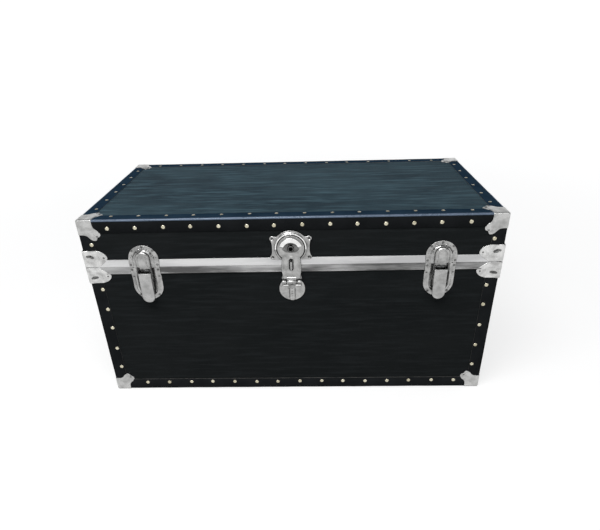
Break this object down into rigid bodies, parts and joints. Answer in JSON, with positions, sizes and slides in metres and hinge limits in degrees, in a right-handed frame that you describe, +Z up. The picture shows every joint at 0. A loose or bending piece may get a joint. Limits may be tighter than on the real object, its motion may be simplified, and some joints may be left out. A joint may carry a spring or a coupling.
{
  "type": "storage trunk",
  "caption": "Rectangular storage trunk with a hinged lid, metal-railed mouth, capped corners, draw-bolt latches, hasp lock, end handles and a folding lid stay.",
  "frame": {"origin": "on the floor, under the middle of the box", "axes": "+Z up, front with the lock towards -Y, +X to the right as seen from the front"},
  "size_m": [0.949, 0.4815, 0.4572],
  "materials": {
    "covered_plywood": "dark blue-black grained covering on plywood",
    "edge_binding": "satin fibre binding",
    "lining_paper": "matte lining paper",
    "rail_metal": "bright drawn rail",
    "grip_plastic": "matte moulded grip",
    "zinc_steel": "zinc plated",
    "plated_steel": "nickel plated pressed steel"
  },
  "bodies": {
    "trunk_body": {"base_edge_bindings": "edge_binding", "base_panel": "covered_plywood", "body_back_panel": "covered_plywood", "body_corner_bindings": "edge_binding", "body_corner_caps": "plated_steel", "body_corner_clamps": "plated_steel", "body_front_panel": "covered_plywood", "body_left_panel": "covered_plywood", "body_lining": "lining_paper", "body_rail_back": "rail_metal", "body_rail_front": "rail_metal", "body_rail_left": "rail_metal", "body_rail_right": "rail_metal", "body_right_panel": "covered_plywood", "drawbolt_bases": "plated_steel", "handle_plates": "plated_steel", "hasp_base": "plated_steel", "hasp_pin": "zinc_steel", "hinge_body_leaves": "zinc_steel", "hinge_pins": "zinc_steel", "padlock_staple": "plated_steel", "stay_body_bracket": "zinc_steel"},
    "lid": {"drawbolt_keepers": "plated_steel", "hinge_lid_leaves": "zinc_steel", "lid_back_panel": "covered_plywood", "lid_corner_bindings": "edge_binding", "lid_corner_caps": "plated_steel", "lid_corner_clamps": "plated_steel", "lid_edge_bindings": "edge_binding", "lid_front_panel": "covered_plywood", "lid_left_panel": "covered_plywood", "lid_lining": "lining_paper", "lid_rail_back": "rail_metal", "lid_rail_front": "rail_metal", "lid_rail_left": "rail_metal", "lid_rail_right": "rail_metal", "lid_right_panel": "covered_plywood", "lid_top_panel": "covered_plywood", "lock_plate": "plated_steel", "stay_lid_bracket": "zinc_steel"},
    "left_lever": {"left_drawbolt_lever": "plated_steel", "left_lever_pin": "zinc_steel"},
    "right_lever": {"right_drawbolt_lever": "plated_steel", "right_lever_pin": "zinc_steel"},
    "left_claw": {"left_drawbolt_claw": "plated_steel", "left_claw_pin": "zinc_steel"},
    "right_claw": {"right_drawbolt_claw": "plated_steel", "right_claw_pin": "zinc_steel"},
    "hasp": {"hasp": "plated_steel"},
    "key_plug": {"key_plug": "plated_steel"},
    "left_handle": {"left_handle_bail": "plated_steel", "left_handle_grip": "grip_plastic"},
    "right_handle": {"right_handle_bail": "plated_steel", "right_handle_grip": "grip_plastic"},
    "stay_lower": {"stay_lower_arm": "zinc_steel"},
    "stay_upper": {"stay_upper_arm": "zinc_steel"}
  },
  "joints": [
    {"name": "lid_hinge", "type": "hinge", "parent": "trunk_body", "child": "lid", "pos_m": [0, 0.2337, 0.346], "axis": [-1, 0, 0], "range_deg": [0, 100]},
    {"name": "stay_lower_pivot", "type": "hinge", "parent": "trunk_body", "child": "stay_lower", "pos_m": [0.4424, 0.12763, 0.23993], "axis": [-1, 0, 0], "range_deg": [0, 100]},
    {"name": "stay_upper_pivot", "type": "hinge", "parent": "lid", "child": "stay_upper", "pos_m": [0.4399, 0.09275, 0.3973], "axis": [-1, 0, 0], "range_deg": [-100, 0]},
    {"name": "left_lever_pivot", "type": "hinge", "parent": "trunk_body", "child": "left_lever", "pos_m": [-0.325, -0.2382, 0.331], "axis": [-1, 0, 0], "range_deg": [0, 100]},
    {"name": "left_claw_pivot", "type": "hinge", "parent": "left_lever", "child": "left_claw", "pos_m": [-0.325, -0.2357, 0.323], "axis": [-1, 0, 0], "range_deg": [-115, 0]},
    {"name": "right_lever_pivot", "type": "hinge", "parent": "trunk_body", "child": "right_lever", "pos_m": [0.325, -0.2382, 0.331], "axis": [-1, 0, 0], "range_deg": [0, 100]},
    {"name": "right_claw_pivot", "type": "hinge", "parent": "right_lever", "child": "right_claw", "pos_m": [0.325, -0.2357, 0.323], "axis": [-1, 0, 0], "range_deg": [-115, 0]},
    {"name": "hasp_hinge", "type": "hinge", "parent": "trunk_body", "child": "hasp", "pos_m": [0, -0.2332, 0.306], "axis": [1, 0, 0], "range_deg": [0, 160]},
    {"name": "key_turn", "type": "hinge", "parent": "hasp", "child": "key_plug", "pos_m": [0, -0.236, 0.387], "axis": [0, -1, 0], "range_deg": [0, 90]},
    {"name": "left_handle_swing", "type": "hinge", "parent": "trunk_body", "child": "left_handle", "pos_m": [-0.4665, 0, 0.236], "axis": [0, 1, 0], "range_deg": [0, 90]},
    {"name": "right_handle_swing", "type": "hinge", "parent": "trunk_body", "child": "right_handle", "pos_m": [0.4665, 0, 0.236], "axis": [0, -1, 0], "range_deg": [0, 90]}
  ],
  "couplings": [
    {"joint": "stay_lower_pivot", "follows": "lid_hinge", "ratio": 1},
    {"joint": "stay_upper_pivot", "follows": "lid_hinge", "ratio": -1},
    {"joint": "left_claw_pivot", "follows": "left_lever_pivot", "ratio": -1.15},
    {"joint": "right_claw_pivot", "follows": "right_lever_pivot", "ratio": -1.15}
  ]
}
